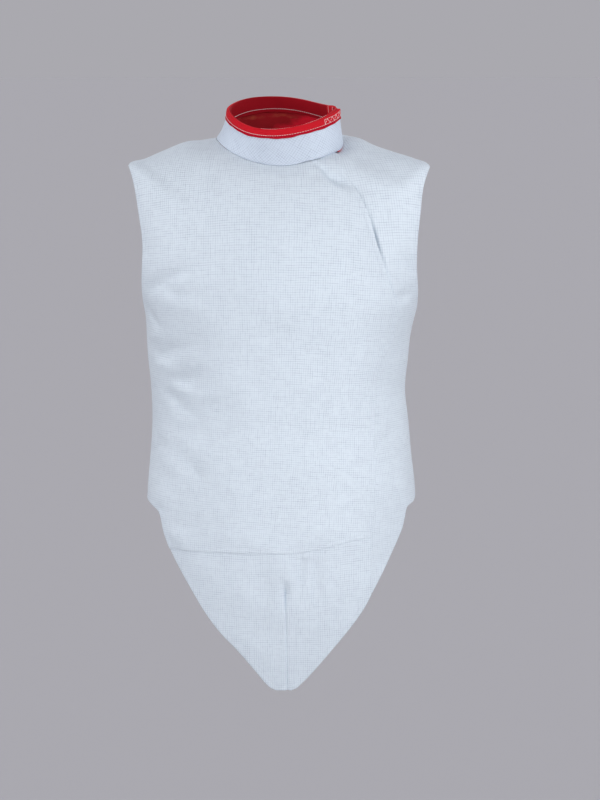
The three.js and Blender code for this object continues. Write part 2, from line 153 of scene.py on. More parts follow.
flap_edge = [
    # x, height
    (67, -8), (73, -21), (84, -41), (94, -56), (103, -76), (113, -106), (119, -127), (127, -149), (134, -172),
    (139, -187), (142, -204), (143, -219), (139, -236), (132, -250), (124, -265), (118.5, -285), (116, -313),
    (115, -340), (115, -437), (112, -484),
]
hem_outline = [
    # height, reach to the right, reach to the left
    (-448, 172, 170.5), (-450, 166, 160), (-454, 159, 156.5), (-459, 154, 155.5), (-466, 151.5, 154.5),
    (-480, 148, 151), (-503, 139, 139.5), (-527, 127, 128.5), (-552, 113, 115), (-577, 98, 102),
    (-602, 80, 84), (-628, 56, 63), (-654, 32, 39), (-668, 20, 25), (-674, 14, 19), (-678, 7, 12),
]
creases = [
    # side, from x, from height, to x, to height, depth, width
    ("front", -163, -177, -83, -135, 3.2, 9),
    ("front", -146, -176, -98, -183, 2, 9),
    ("front", -166, -206, -146, -228, 2.2, 8),
    ("front", -163, -240, -147, -228, -1.8, 6),
    ("front", -154, -260, -104, -241, 3.2, 10),
    ("front", -156, -268, -128, -279, -1.6, 8),
    ("front", -131, -290, -79, -274, 2.6, 9),
    ("front", -131, -297, -97, -308, -2, 7),
    ("front", -97, -308, -57, -299, -1.4, 7),
    ("front", -140, -308, -96, -342, 2.8, 10),
    ("front", -111, -354, -80, -354, 1.6, 13),
    ("front", -156, -370, -121, -384, 2.6, 12),
    ("front", -126, -382, -78, -430, 3.2, 12),
    ("front", -157, -452, -143, -454, 1.4, 6),
    ("front", -119, -494, -146, -470, -2.2, 10),
    ("front", 123, -59, 128, -112, 1.6, 7),
    ("front", 160, -152, 140, -122, 2.4, 7),
    ("front", 158, -184, 135, -186, 2.4, 8),
    ("front", 47, -24, 60, -35, 4, 6.5),
    ("front", 58, -35, 88, -49, 6, 7.5),
    ("front", 47, -36, 23, -33, 1.6, 7),
    ("front", 68, -22, 80, -37, -1.6, 7),
    ("front", 104, -3, 84, -22, 2, 8),
    ("front", -73, -18, -72, -53, 1.2, 10),
    ("front", 26, -513, 21, -562, 3.4, 6),
    ("front", 42, -517, 41, -576, 3, 6.5),
    ("front", -24, -515, -24, -600, 2.4, 14),
    ("front", 4, -541, 4, -572, 2.6, 5.5),
    ("back", -160, -196, -112, -160, 2.6, 12),
    ("back", -158, -262, -108, -284, 2.8, 12),
    ("back", -160, -335, -104, -306, 2.6, 12),
    ("back", -154, -425, -96, -398, 2.1, 12),
    ("back", 156, -192, 106, -152, 2.6, 12),
    ("back", 152, -250, 98, -276, 2.8, 12),
    ("back", 156, -345, 112, -314, 2.6, 12),
    ("back", -24, -60, -16, -190, 1.8, 15),
    ("back", 42, -420, 34, -300, 2, 16),
]
millimetres_per_degree = 2.65
shoulder_tip_ring, underarm_ring, level_ring, bend_ring, hem_ring, foot_ring = 5, 10, 12, 14, 16, 17
yoke_length, armhole_depth, waist_length, front_width = 108, 170, 246, 436
armhole_forward, armhole_back = 27, 25
hem_height, crotch_seam_height, flap_foot_height, point_height = -448, -501, -484, -678
flap_lap = 11
flap_lift = 1.15
flap_lift_ramp = 16
crotch_tuck = 8
hem_inset = 6.6
edge_squeeze = 2.4
cloth_step, foot_step = 2.7, 2.4
seam_share = 0.15 / millimetres_per_degree
close_rows = np.array([0, 0.8, 1.8, 3, 4.4, 5.6, 6.6, 7.6, 9, 11])


def ease(value, low, high):
    share = np.clip((value - low) / (high - low), 0, 1)
    return share * share * (3 - 2 * share)


def smooth_rows(rows, at):
    """A smooth curve through the rows of a table, at row numbers that needn't be whole."""
    rows, at = np.asarray(rows, float), np.asarray(at, float)
    whole = np.clip(np.floor(np.nan_to_num(at)), 0, len(rows) - 2).astype(int)
    t = (at - whole)[..., None]
    a, b, c, d = (rows[np.clip(whole + step, 0, len(rows) - 1)] for step in (-1, 0, 1, 2))
    return b + 0.5 * t * (c - a + t * (2 * a - 5 * b + 4 * c - d + t * (3 * (b - c) + d - a)))


def read_off(rows, by, wanted):
    """A function from one column of a table's smooth curve, which only rises or only falls, to another."""
    fine = smooth_rows(rows, np.linspace(0, len(rows) - 1, 6000))
    order = np.argsort(fine[:, by])
    return lambda value: np.interp(value, fine[order, by], fine[order, wanted])


def halve(low, high, shape, is_low):
    """The number between low and high where is_low stops being true, by halving."""
    low, high = np.full(shape, float(low)), np.full(shape, float(high))
    for _ in range(34):
        middle = (low + high) / 2
        below = is_low(middle)
        low, high = np.where(below, middle, low), np.where(below, high, middle)
    return (low + high) / 2


def ring_point(ring, turn):
    right, right_z, left, left_z, front, front_z, back, back_z, middle_x, fullness = np.moveaxis(ring, -1, 0)
    sine, cosine = np.sin(np.radians(turn)), np.cos(np.radians(turn))
    stretch = (abs(sine) ** fullness + abs(cosine) ** fullness) ** (-1 / fullness)
    middle = (abs(cosine) * stretch) ** 1.6
    side_z = np.where(sine < 0, right_z, left_z)
    middle_z = np.where(cosine > 0, front_z, back_z)
    x = np.where(sine < 0, right, left) * stretch * sine + middle_x * middle
    y = -np.where(cosine > 0, front, back) * stretch * cosine
    return np.stack((x, y, side_z + (middle_z - side_z) * middle), axis=-1)


def normal_of(form, turn, down):
    along = form(turn + 0.02, down) - form(turn - 0.02, down)
    below = form(turn, down + 0.02) - form(turn, down - 0.02)
    normal = np.cross(below, along)
    return normal / np.linalg.norm(normal, axis=-1, keepdims=True)


def neck_dip(turn):
    return 10 * np.exp(-((((turn + 180) % 360 - 180 - 70) / 16) ** 2))


def body(turn, ring):
    point = ring_point(smooth_rows(body_rings, ring), turn)
    point[..., 2] -= neck_dip(turn) * np.exp(-ring / 1.5)
    return point


ring_at = read_off([(ring[5], number) for number, ring in enumerate(body_rings)], 0, 1)


def turn_at_x(ring, x, side="front"):
    """The turn at which a ring reaches sideways to x, in front or at the back."""
    rows = smooth_rows(body_rings, ring)

    def turned(away):
        return np.sign(x) * (away if side == "front" else 180 - away)

    def falls_short(away):
        return abs(ring_point(rows, turned(away))[..., 0]) < abs(x)

    return turned(halve(0, 90, np.shape(x), falls_short))


def place_at(x, z, side="front"):
    """The turn and ring of the place on the body that is seen at x and z."""
    x, z = np.asarray(x, float), np.asarray(z, float)

    def above(ring):
        rows = smooth_rows(body_rings, ring)
        reach = np.where(x < 0, rows[..., 0], rows[..., 2])
        return (abs(x) > reach) | (body(turn_at_x(ring, x, side), ring)[..., 2] > z)

    ring = halve(0, len(body_rings) - 1, x.shape, above)
    return turn_at_x(ring, x, side), ring


flap_turns, flap_rings = place_at(*np.transpose(flap_edge))
flap_turn = read_off(np.stack((flap_rings, flap_turns), -1), 0, 1)


def lap_start(ring):
    """The turn at which the flap begins to lie over the left front."""
    return flap_turn(ring) - flap_lap


def crease_lines():
    for side, from_x, from_z, to_x, to_z, depth, width in creases:
        turns, _ = place_at([from_x, to_x], [from_z, to_z], side)
        yield turns[0], from_z, turns[1], to_z, depth, width


crease_places = list(crease_lines())


def crease_depth(turn, z):
    depth = np.zeros_like(z)
    turn = (turn + 180) % 360 - 180
    for from_turn, from_z, to_turn, to_z, deep, width in crease_places:
        along = (to_turn - from_turn) * millimetres_per_degree
        down = to_z - from_z
        aside = (turn - from_turn) * millimetres_per_degree
        below = z - from_z
        share = np.clip((aside * along + below * down) / (along**2 + down**2), 0, 1)
        away = np.hypot(aside - share * along, below - share * down) / width
        fade = ease(share, -0.6, 0.3) * (1 - 0.8 * ease(share, 0.3, 1))
        depth += deep * fade * np.exp(-away * away)
    return depth


def unevenness(turn, z):
    """The faint waves of cloth that is worn and not pressed, the same on both sides of a seam."""
    chance = np.random.default_rng(11)
    waves = np.zeros_like(z)
    for _ in range(26):
        round_count = chance.integers(2, 15)
        length = chance.uniform(55, 190)
        phase = chance.uniform(0, 2 * np.pi)
        waves += np.sin(round_count * np.radians(turn) + 2 * np.pi * z / length + phase)
    return 0.11 * waves


def cloth_surface(turn, ring, lift=0.0):
    """Outer points of the body's cloth, lifted off the form where it laps over another piece."""
    point = body(turn, ring)
    z = point[..., 2]
    loose = np.minimum(1, 2 * ring)
    out = lift - (crease_depth(turn, z) - unevenness(turn, z)) * loose
    return point + normal_of(body, turn, ring) * out[..., None]


def stations(length, step=cloth_step, first=True, last=True):
    """Shares of a length, a step apart and closer together at the ends that are sewn."""
    start = close_rows if first else close_rows[:1]
    end = length - close_rows[::-1] if last else np.array([length])
    count = round((end[0] - start[-1]) / step)
    return np.concatenate((start, np.linspace(start[-1], end[0], count + 1)[1:-1], end)) / length


def armhole_share(ring):
    down = np.clip((ring - shoulder_tip_ring) / (underarm_ring - shoulder_tip_ring), 0, 1)
    return 2 * np.sqrt(down * (1 - down))


def rings_to_hem():
    yoke = shoulder_tip_ring * stations(yoke_length, last=False)
    armhole = (1 - np.cos(np.pi * np.linspace(0, 1, round(armhole_depth / cloth_step) + 1)[1:])) / 2
    waist = stations(waist_length, first=False)[1:]
    return np.concatenate((
        np.maximum(yoke, 0.01),
        shoulder_tip_ring + (underarm_ring - shoulder_tip_ring) * armhole,
        underarm_ring + (hem_ring - underarm_ring) * waist,
    ))


def front_edge(ring):
    return 90 - seam_share - armhole_forward * armhole_share(ring)


def back_edge(ring):
    return 90 + seam_share + armhole_back * armhole_share(ring)


hem_heights = np.linspace(hem_height, point_height, 1200)
hem_turns = {
    side: turn_at_x(ring_at(hem_heights), read_off(hem_outline, 0, column)(hem_heights) * sign)
    for side, column, sign in (("right", 1, -1), ("left", 2, 1))
}


def hem_turn(z, side):
    return np.interp(-z, -hem_heights, hem_turns[side])


def hem_height_at(turn):
    """The hem's height in front at a turn, between the side seam and the corner where it turns down."""
    upper = hem_heights > crotch_seam_height
    found = [
        np.interp(-abs(turn), -abs(hem_turns[side][upper]), hem_heights[upper])
        for side in ("right", "left")
    ]
    return np.where(turn < 0, *found)


def crotch_seam_at(turn):
    return crotch_seam_height + (flap_foot_height - crotch_seam_height) * ease(turn, 2, 38)


def ring_near_foot(turn, level):
    share = 1 - ease(level, crotch_seam_height, hem_height)
    return ring_at(level + share * (crotch_seam_at(turn) - crotch_seam_height))


def bend_to_hem(turns, rings, corner):
    """Rows of rings that bend until the last one is the hem, from the side seam to the hem's corner."""
    bend = ease(rings, bend_ring, hem_ring)
    level = body(0 * rings, rings)[..., 2]
    hem = hem_height_at(np.where(abs(turns) > abs(corner), turns, corner))
    return np.where(rings < level_ring, rings, ring_near_foot(turns, level + bend * (hem - hem_height)))


def across(shares, start, end, usual_start):
    """Turns from one edge to another, as even as can be where the first edge leaves its usual place."""
    return usual_start + (end - usual_start) * shares + (start - usual_start) * (1 - shares) ** edge_squeeze


def collar_lap(turn):
    return ease(turn, 366, 400)


def flap_gape(z):
    """How far the flap stands open over the chest, between the places where it is fastened."""
    return np.exp(-(((z + 113) / 16) ** 2))


def flap_lift_at(turn, ring, z):
    lap = lap_start(np.minimum(ring, foot_ring))
    over_left_front = ease(turn, lap - flap_lift_ramp, lap - 1)
    tucked_to = crotch_seam_at(turn) + crotch_tuck
    over_crotch = 1 - ease(z, tucked_to + 4, tucked_to + 30)
    open_edge = 1.1 * flap_gape(z) * ease(turn, lap + flap_lap - 5, lap + flap_lap)
    return flap_lift * np.maximum(over_left_front, over_crotch) + open_edge


lap_sag = [(25, 0), (37, 2.5), (46, 4.2), (57, 3.9), (62, 4.5), (77, 4.5), (88, 0)]


def sag_under_lap(turn, ring):
    """How far the neckline sags below the collar's lap, which hangs over it."""
    return np.interp((turn + 180) % 360 - 180, *np.transpose(lap_sag)) * np.exp(-ring / 0.8)


def front_surface(turn, ring):
    """The front panel's cloth, which at the neck also moves out and sags with the collar's lap."""
    out = 3.2 * collar_lap(turn + 360) * np.exp(-ring / 0.9)
    point = cloth_surface(turn, ring, flap_lift_at(turn, ring, body(turn, ring)[..., 2]))
    point[..., 0] += out * np.sin(np.radians(turn))
    point[..., 1] -= out * np.cos(np.radians(turn))
    point[..., 2] -= sag_under_lap(turn, ring)
    return point


def nearness(points, edges):
    """How far each point is from the nearest of some edges, in millimetres."""
    along = []
    for edge in edges:
        edge = edge[~np.isnan(edge[..., 0])]
        for start, end in zip(edge[:-1], edge[1:]):
            count = max(1, round(np.linalg.norm(end - start) / 0.7))
            along.extend(start + (end - start) * i / count for i in range(count))
        along.append(edge[-1])
    tree = KDTree(len(along))
    for number, place in enumerate(along):
        tree.insert(place, number)
    tree.balance()
    flat = points.reshape(-1, 3)
    away = [tree.find(place)[2] if place[0] == place[0] else 99.0 for place in flat]
    return np.array(away).reshape(points.shape[:-1])


def steps_along(points, axis):
    """The way from each place of a grid to its neighbours, one-sided where the cloth ends."""
    step = np.diff(points, axis=axis)
    end = np.full_like(np.take(points, [0], axis=axis), np.nan)
    before, after = np.concatenate((end, step), axis=axis), np.concatenate((step, end), axis=axis)
    return np.where(np.isnan(before), after, before) + np.where(np.isnan(after), before, after)


def grid_normals(points):
    normal = np.cross(steps_along(points, 0), steps_along(points, 1))
    return normal / np.maximum(np.linalg.norm(normal, axis=-1, keepdims=True), 1e-9)


def finish_edges(points, hems, seams):
    """Hems stand a little proud as far as their sewing, which pulls them in, and seams lie in a dip."""
    out = np.zeros(points.shape[:-1])
    if hems:
        away = nearness(points, [points[edge] for edge in hems])
        proud = 0.16 * (1 - ease(away, 5.5, 9))
        out += proud - 0.2 * np.exp(-((away - hem_inset) ** 2)) - 0.35 * np.exp(-(away**2) / 0.5)
    if seams:
        away = nearness(points, [points[edge] for edge in seams])
        out -= 0.25 * np.exp(-((away / 0.9) ** 2)) - 0.08 * np.exp(-(((away - 4) / 2.5) ** 2))
    return points + grid_normals(points) * out[..., None]


def grid_of(points):
    """A mesh over a grid of places, rows going down and columns to the wearer's left."""
    rows, columns = points.shape[:2]
    sheet = bmesh.new()
    bmesh.ops.create_grid(sheet, x_segments=columns - 1, y_segments=rows - 1, size=0.5)
    for vert, place in zip(sheet.verts, points.reshape(-1, 3) * millimetre):
        vert.co = place
    return sheet


def cloth_piece(name, points, thickness=cloth):
    """A sheet of cloth over a grid of places, with a wall and rounded rims."""
    sheet = grid_of(points)
    bare = [vert for vert in sheet.verts if vert.co.x != vert.co.x]
    bmesh.ops.delete(sheet, geom=bare, context="VERTS")
    bmesh.ops.reverse_faces(sheet, faces=sheet.faces)
    for face in sheet.faces:
        face.smooth = True
    piece = object_from(sheet, name)
    wall = piece.modifiers.new("wall", "SOLIDIFY")
    wall.thickness = thickness * millimetre
    wall.offset = -1
    wall.use_even_offset = True
    wall.use_quality_normals = True
    rim = piece.modifiers.new("rim", "BEVEL")
    rim.width = thickness * 0.0002
    rim.segments = 2
    rim.limit_method = "ANGLE"
    rim.angle_limit = math.radians(60)
    return piece


def loop_corners(mesh):
    corners = np.empty(len(mesh.loops), np.int32)
    mesh.loops.foreach_get("vertex_index", corners)
    return corners


def write_map(mesh, places):
    mesh.uv_layers["cloth"].uv.foreach_set("vector", places.astype(np.float32).ravel())


def lay_flat(piece, facing=1):
    """The cloth's own map: the piece laid flat at real size, in metres, with its grain upright."""
    mesh = piece.data
    mesh.uv_layers.new(name="cloth")
    bpy.context.view_layer.objects.active = piece
    bpy.ops.object.mode_set(mode="EDIT")
    bpy.ops.mesh.select_all(action="SELECT")
    bpy.ops.uv.unwrap(method="CONFORMAL", margin=0)
    bpy.ops.object.mode_set(mode="OBJECT")
    flat = np.empty(len(mesh.loops) * 2, np.float32)
    mesh.uv_layers["cloth"].uv.foreach_get("vector", flat)
    flat = flat.reshape(-1, 2) @ (1, 1j)
    solid = np.empty(len(mesh.vertices) * 3, np.float32)
    mesh.vertices.foreach_get("co", solid)
    seen = solid.reshape(-1, 3)[loop_corners(mesh)] @ (facing, 0, 1j)
    flat -= flat.mean()
    turned = np.sum((seen - seen.mean()) * np.conj(flat))
    flat *= turned / abs(turned)
    quads = flat.reshape(-1, 4)
    diagonals = (quads[:, 2] - quads[:, 0]) * np.conj(quads[:, 3] - quads[:, 1])
    area = sum(face.area for face in mesh.polygons)
    flat *= math.sqrt(area / (abs(diagonals.imag).sum() / 2))
    write_map(mesh, np.stack((flat.real, flat.imag), -1))


def add_node(tree, kind, links=(), **settings):
    """A shader node with its settings and socket values, joined to the sockets that feed it."""
    node = tree.nodes.new(kind)
    for name, value in settings.items():
        setattr(node, name, value)
    for socket, value in dict(links).items():
        if isinstance(value, bpy.types.NodeSocket):
            tree.links.new(value, node.inputs[socket])
        else:
            node.inputs[socket].default_value = value
    return node


def calculate(tree, operation, *values):
    return add_node(tree, "ShaderNodeMath", enumerate(values), operation=operation).outputs[0]


def vector_math(tree, operation, links):
    return add_node(tree, "ShaderNodeVectorMath", links, operation=operation).outputs[0]


def noise(tree, place, scale, detail):
    return add_node(tree, "ShaderNodeTexNoise", {"Vector": place, "Scale": scale, "Detail": detail})


def map_range(tree, value, low, high, to_low, to_high, **settings):
    links = {"Value": value, "From Min": low, "From Max": high, "To Min": to_low, "To Max": to_high}
    return add_node(tree, "ShaderNodeMapRange", links, **settings).outputs[0]


def blend(tree, share, color, other):
    links = {"Factor": share, 6: color, 7: other}
    return add_node(tree, "ShaderNodeMix", links, data_type="RGBA").outputs[2]


def new_group(name, inputs, outputs):
    tree = bpy.data.node_groups.new(name, "ShaderNodeTree")
    for socket, kind, value in inputs:
        made = tree.interface.new_socket(socket, in_out="INPUT", socket_type=kind)
        if value is not None:
            made.default_value = value
    for socket, kind in outputs:
        tree.interface.new_socket(socket, in_out="OUTPUT", socket_type=kind)
    return tree, tree.nodes.new("NodeGroupInput"), tree.nodes.new("NodeGroupOutput")


def woven_threads():
    """Plain weave of threads over and under each other, with heavier ones that show as broken ribs."""
    tree, given, made = new_group(
        "woven_threads",
        [
            ("Place", "NodeSocketVector", None),
            ("Rib", "NodeSocketFloat", 0.0028),
            ("Threads", "NodeSocketFloat", 4.0),
        ],
        [("Shade", "NodeSocketFloat"), ("Height", "NodeSocketFloat"), ("Glint", "NodeSocketFloat")],
    )
    place, rib, threads = given.outputs["Place"], given.outputs["Rib"], given.outputs["Threads"]

    def times(value, other):
        return calculate(tree, "MULTIPLY", value, other)

    def sine_of(value, turn):
        return calculate(tree, "SINE", times(value, turn))

    drift = noise(tree, place, 28.0, 1.0).outputs["Color"]
    drifted = vector_math(tree, "SUBTRACT", {0: drift, 1: (0.5, 0.5, 0.5)})
    moved = vector_math(tree, "MULTIPLY_ADD", {0: drifted, 1: (0.003,) * 3, 2: place})
    counted = vector_math(tree, "SCALE", {0: moved, "Scale": calculate(tree, "DIVIDE", 1.0, rib)})
    split = add_node(tree, "ShaderNodeSeparateXYZ", {0: counted}).outputs
    ribs = []
    for side, (count, other, broken) in enumerate((("Y", "X", 0.24), ("X", "Y", 0.3))):
        line = calculate(tree, "ABSOLUTE", sine_of(split[count], math.pi))
        groove = map_range(tree, line, 0.0, 0.62, 1.0, 0.0, interpolation_type="SMOOTHSTEP")
        row = calculate(tree, "ROUND", split[count])
        spot = add_node(tree, "ShaderNodeCombineXYZ", {
            0: times(split[other], broken), 1: times(row, 3.7), 2: 11.0 * side + 0.5,
        })
        seen = noise(tree, spot.outputs[0], 1.0, 2.0).outputs["Fac"]
        ribs.append(times(groove, map_range(tree, seen, 0.34, 0.69, 0.2, 1.04)))
    both = calculate(tree, "ADD", ribs[0], times(ribs[1], 0.95))
    turn = times(threads, math.pi)
    over = times(sine_of(split["X"], turn), sine_of(split["Y"], turn))
    slub = noise(tree, place, 520.0, 2.0).outputs["Fac"]
    tree.links.new(calculate(tree, "SUBTRACT", 1.0, both), made.inputs["Shade"])
    body_height = calculate(tree, "MULTIPLY_ADD", over, 0.28, times(both, -0.8))
    tree.links.new(calculate(tree, "MULTIPLY_ADD", slub, 0.35, body_height), made.inputs["Height"])
    tree.links.new(calculate(tree, "ABSOLUTE", over), made.inputs["Glint"])
    return tree


threads_group = woven_threads()


def cloudy_tone():
    """Slow changes of tone over worn cloth, where it is handled and where the light catches its nap."""
    tree, given, made = new_group(
        "cloudy_tone",
        [
            ("Place", "NodeSocketVector", None),
            ("Size", "NodeSocketFloat", 9.0),
            ("Depth", "NodeSocketFloat", 0.06),
        ],
        [("Tone", "NodeSocketFloat")],
    )
    cloud = noise(tree, given.outputs["Place"], given.outputs["Size"], 3.0).outputs["Fac"]
    away = calculate(tree, "SUBTRACT", cloud, 0.5)
    tree.links.new(calculate(tree, "MULTIPLY_ADD", away, given.outputs["Depth"], 1.0), made.inputs["Tone"])
    return tree


tone_group = cloudy_tone()


def cloth_material(
    name, color, shadow, metallic, rough, rib, threads, rib_depth, bump,
    lean=0.0, sheen=0.0, tone=0.07, gloss=0.5,
):
    """Woven cloth: its colour, the colour deep in its weave, and the weave's size, turned by an angle."""
    material, tree, surface = new_material(name)
    flat = add_node(tree, "ShaderNodeUVMap", uv_map="cloth").outputs["UV"]
    turned = {"Vector": flat, "Rotation": (0, 0, math.radians(lean))}
    place = add_node(tree, "ShaderNodeMapping", turned).outputs[0]
    weave = add_node(
        tree, "ShaderNodeGroup", {"Place": place, "Rib": rib, "Threads": threads}, node_tree=threads_group)
    clouds = add_node(tree, "ShaderNodeGroup", {"Place": flat, "Depth": tone}, node_tree=tone_group)
    deep = calculate(tree, "SUBTRACT", 1.0, weave.outputs["Shade"])
    mixed = blend(tree, calculate(tree, "MULTIPLY", deep, rib_depth), color, shadow)
    toned = vector_math(tree, "SCALE", {0: mixed, "Scale": clouds.outputs["Tone"]})
    tree.links.new(toned, surface.inputs["Base Color"])
    surface.inputs["Metallic"].default_value = metallic
    surface.inputs["Specular IOR Level"].default_value = gloss
    surface.inputs["Sheen Weight"].default_value = sheen
    surface.inputs["Sheen Roughness"].default_value = 0.4
    roughness = calculate(tree, "MULTIPLY_ADD", weave.outputs["Glint"], -0.12, rough)
    tree.links.new(roughness, surface.inputs["Roughness"])
    bumps = {"Height": weave.outputs["Height"], "Strength": 1.0, "Distance": bump}
    relief = add_node(tree, "ShaderNodeBump", bumps)
    tree.links.new(relief.outputs["Normal"], surface.inputs["Normal"])
    return material


lame = cloth_material(
    "lame", color=(0.76, 0.845, 0.915, 1), shadow=(0.4, 0.47, 0.58, 1), metallic=0.3, rough=0.55,
    rib=0.0028, threads=4, rib_depth=0.52, bump=0.00026, sheen=0.1)

corner_share = 10 / 38
beside_share = 1 - corner_share
corner_shares = stations(corner_share * front_width) * corner_share
body_shares = stations(beside_share * front_width, last=False) * beside_share + corner_share
front_shares = np.concatenate((corner_shares, body_shares[1:]))
lap_shares = stations(flap_lap * millimetres_per_degree, first=False)[1:]
corner_column = len(corner_shares) - 1
row_rings = rings_to_hem()
front_rows = len(row_rings)


def with_lap(turns, rings):
    """Rows of turns and, after them, those of the flap's lap."""
    return np.concatenate((turns, lap_start(rings) + flap_lap * lap_shares[None]), axis=1)


def front_panel_places():
    rings = row_rings[:, None]
    turns = with_lap(across(front_shares[None], -front_edge(rings), lap_start(rings), -90), rings)
    corner = -90 + (lap_start(hem_ring) + 90) * corner_share
    above = turns, bend_to_hem(turns, rings + 0 * turns, corner)

    corner_height = hem_height_at(corner)
    foot_length = corner_height - crotch_seam_height
    levels = corner_height - foot_length * stations(foot_length, foot_step, first=False)[1:, None]
    foot_rings = ring_at(levels)
    shares = (body_shares - corner_share) / beside_share
    usual = -90 + (lap_start(foot_rings) + 90) * corner_share
    turns = across(shares[None], hem_turn(levels, "right"), lap_start(foot_rings), usual)
    turns = with_lap(turns, foot_rings)
    below = turns, ring_near_foot(turns, levels + 0 * turns)
    bare = np.full((len(levels), corner_column), np.nan)
    return tuple(np.concatenate((a, np.concatenate((bare, b), axis=1))) for a, b in zip(above, below))


front_points = front_surface(*front_panel_places())
at_armhole = np.flatnonzero((row_rings >= shoulder_tip_ring) & (row_rings <= underarm_ring))
armhole_rows = slice(at_armhole[0], at_armhole[-1] + 1)
yoke_rows = slice(0, at_armhole[0] + 1)
side_rows = slice(at_armhole[-1], front_rows)
front_hems = [
    (armhole_rows, 0),
    (front_rows - 1, slice(0, corner_column + 1)),
    (slice(front_rows - 1, None), corner_column),
    (-1, slice(corner_column, None)),
    (slice(None), -1),
]
front_points = finish_edges(front_points, front_hems, [(yoke_rows, 0), (side_rows, 0), (0, slice(None))])
front_panel = cloth_piece("front_panel_cloth", front_points)
lay_flat(front_panel)
front_panel.data.materials.append(lame)
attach(front_panel, "root")
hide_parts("front_panel")


# Left front.
# The left shoulder, armhole and side, a narrower piece of the same cloth. Its edge lies under the flap, and
# its foot runs down beside the crotch panel to a point.
side_seam_x = 112.3
left_corner_share = 4 / 9
left_width = 132
left_foot_height, left_foot_length = -555, 100
under_columns = 12


def left_front_places():
    rings = row_rings[:, None]
    corner_part = stations(left_corner_share * left_width) * left_corner_share
    side_part = stations((1 - left_corner_share) * left_width) * (1 - left_corner_share)
    shares = np.concatenate((corner_part, left_corner_share + side_part[1:]))
    under = lap_start(np.minimum(rings, foot_ring))
    lap = under + flap_lap * np.linspace(0, 1, under_columns)[None]
    main = under + flap_lap + (front_edge(rings) - under - flap_lap) * shares[None]
    turns = np.concatenate((lap, main[:, 1:]), axis=1)
    corner_start = lap_start(hem_ring) + flap_lap
    corner = corner_start + (90 - corner_start) * left_corner_share
    above = turns, bend_to_hem(turns, rings + 0 * turns, corner)

    corner_height = hem_height_at(np.array(corner))
    down = stations(left_foot_length, foot_step, first=False)[1:, None]
    levels = corner_height + (left_foot_height - corner_height) * down
    foot_rings = ring_at(levels)
    seam = turn_at_x(foot_rings, side_seam_x + 0 * levels)
    start = seam + (lap_start(foot_rings) - seam) * ease(levels, -474, -458)
    end = np.maximum(hem_turn(levels, "left"), seam + 0.6)
    under_shares = np.linspace(0, 1 / 3, under_columns)
    fresh = np.concatenate((under_shares, 1 / 3 + corner_part[1:] / left_corner_share * 2 / 3))
    turns = start + (end - start) * fresh[None]
    below = turns, foot_rings + 0 * turns
    bare = np.full((len(levels), above[0].shape[1] - len(fresh)), np.nan)
    corner_column = len(fresh) - 1
    places = tuple(np.concatenate((a, np.concatenate((b, bare), axis=1))) for a, b in zip(above, below))
    return *places, corner_column


def left_front_surface(turn, ring):
    """The left front's cloth, which falls away a little beside the flap's edge."""
    z = body(turn, ring)[..., 2]
    beside = (turn - flap_turn(np.minimum(ring, foot_ring))) * millimetres_per_degree - 1.4
    dip = 1.3 * ease(-z, 40, 60) * (1 - ease(-z, 180, 230)) + 3.2 * flap_gape(z)
    point = cloth_surface(turn, ring, -dip * np.exp(-((beside / 2.2) ** 2)))
    point[..., 2] -= sag_under_lap(turn, ring)
    return point


left_turns, left_rings, left_corner = left_front_places()
left_hems = [
    (armhole_rows, -1),
    (front_rows - 1, slice(left_corner, None)),
    (slice(front_rows - 1, None), left_corner),
]
left_points = finish_edges(
    left_front_surface(left_turns, left_rings), left_hems,
    [(yoke_rows, -1), (side_rows, -1), (0, slice(None))])
left_front = cloth_piece("left_front_cloth", left_points)
lay_flat(left_front)
left_front.data.materials.append(lame)
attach(left_front, "root")
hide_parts("left_front_panel")


# Back panel.
# One piece from the neck to a level hem, sewn to both fronts at the shoulders and sides. The photograph
# doesn't show it, so it is cut as such vests are and hangs with the same soft folds.
back_width = 436


def back_panel_places():
    rings = row_rings[:, None]
    shares = stations(back_width)[None]
    squeeze = (1 - shares) ** edge_squeeze - shares**edge_squeeze
    turns = 90 + 180 * shares + (back_edge(rings) - 90) * squeeze
    return turns, rings + 0 * turns


back_hems = [(armhole_rows, 0), (armhole_rows, -1), (-1, slice(None))]
back_points = finish_edges(
    cloth_surface(*back_panel_places()), back_hems,
    [(yoke_rows, 0), (yoke_rows, -1), (side_rows, 0), (side_rows, -1), (0, slice(None))])
back_panel = cloth_piece("back_panel_cloth", back_points)
lay_flat(back_panel, facing=-1)
back_panel.data.materials.append(lame)
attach(back_panel, "root")
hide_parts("back_panel")


# Crotch panel.
# A pointed piece of the same cloth that passes between the legs. Its top is tucked under the front panel's
# foot, a dart runs up from its point, and its slanting edges are hemmed.
dart_top = -541
crotch_length, crotch_half_width = 178, 130
left_reach = read_off(hem_outline, 0, 2)


def dart_x(z):
    return 4 + 0.022 * np.maximum(0, dart_top - z)


def crotch_panel_places():
    down = stations(crotch_length, 2.3)[:, None]
    top = crotch_seam_height + crotch_tuck
    levels = top + (point_height - top) * down
    rings = ring_at(levels)
    start = hem_turn(levels, "right")
    middle = turn_at_x(rings, dart_x(levels))
    end = turn_at_x(rings, np.minimum(left_reach(levels), side_seam_x - 0.12))
    half = stations(crotch_half_width)[None]
    turns = np.concatenate((start + (middle - start) * half, middle + (end - middle) * half[:, 1:]), axis=1)
    rise = (crotch_seam_at(turns) - crotch_seam_height) * np.maximum(0, 1 - down * 3) ** 2
    return turns, ring_at(levels + rise)


crotch_points = cloth_surface(*crotch_panel_places())
seam_end = int(np.argmax(left_reach(crotch_points[:, -1, 2]) < side_seam_x - 0.3))
crotch_hems = [(slice(None), 0), (slice(seam_end, None), -1), (-1, slice(None))]
crotch_points = finish_edges(crotch_points, crotch_hems, [])


